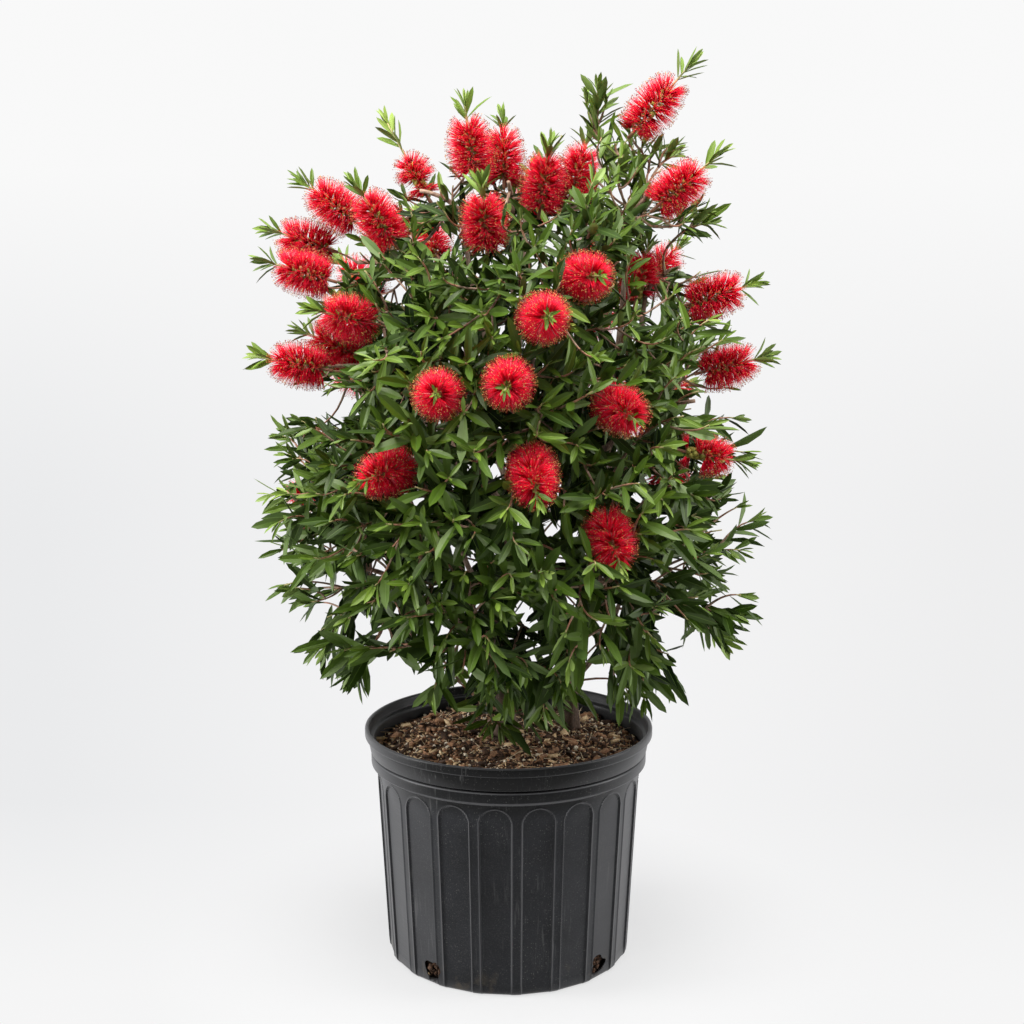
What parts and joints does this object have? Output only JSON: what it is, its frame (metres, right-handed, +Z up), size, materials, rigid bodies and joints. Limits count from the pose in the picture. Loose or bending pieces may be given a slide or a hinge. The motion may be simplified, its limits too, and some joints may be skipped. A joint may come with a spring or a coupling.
{
  "type": "potted bottlebrush plant",
  "caption": "Bushy flowering shrub with woody stems, narrow leaves and red brush-shaped blooms, growing in a round black nursery pot.",
  "frame": {"origin": "centre of the pot's flat underside, on the surface that the pot stands on", "axes": "+Z up along the pot's axis, +X to the right and -Y towards a viewer in front; the second stem stands on the +X side"},
  "size_m": [0.5057, 0.4996, 0.8655],
  "materials": {
    "pot_plastic": "satin moulded black plastic, dusty and lightly scuffed",
    "potting_mix": "loose damp bark chips with pale grit and fibres",
    "bark": "grey-brown fissured bark, red-brown on young twigs",
    "foliage": "glossy dark green leaves, yellow-green at the shoot tips",
    "blossom": "crimson stamens with gold and dark red anthers"
  },
  "bodies": {
    "root": {"pot": "pot_plastic", "potting_mix": "potting_mix", "stem_main": "bark", "stem_right": "bark", "bough_foot_sprig": "bark", "bough_low_front": "bark", "bough_low_back": "bark", "bough_low_left": "bark", "bough_mid_front_left": "bark", "bough_mid_back_left": "bark", "bough_mid_front": "bark", "bough_mid_left": "bark", "bough_upper_front_left": "bark", "bough_upper_back_left": "bark", "bough_upper_front": "bark", "bough_upper_left": "bark", "bough_top_left": "bark", "bough_top_back": "bark", "bough_top_middle": "bark", "bough_low_right": "bark", "bough_low_front_right": "bark", "bough_mid_front_right": "bark", "bough_mid_back_right": "bark", "bough_mid_right": "bark", "bough_upper_back_right": "bark", "bough_upper_right": "bark", "bough_top_right": "bark", "foliage_foot_sprig": "foliage", "foliage_low_front": "foliage", "foliage_low_back": "foliage", "foliage_low_left": "foliage", "foliage_mid_front_left": "foliage", "foliage_mid_back_left": "foliage", "foliage_mid_front": "foliage", "foliage_mid_left": "foliage", "foliage_upper_front_left": "foliage", "foliage_upper_back_left": "foliage", "foliage_upper_front": "foliage", "foliage_upper_left": "foliage", "foliage_top_left": "foliage", "foliage_top_back": "foliage", "foliage_top_middle": "foliage", "foliage_low_right": "foliage", "foliage_low_front_right": "foliage", "foliage_mid_front_right": "foliage", "foliage_mid_back_right": "foliage", "foliage_mid_right": "foliage", "foliage_upper_back_right": "foliage", "foliage_upper_right": "foliage", "foliage_top_right": "foliage"}
  },
  "joints": []
}
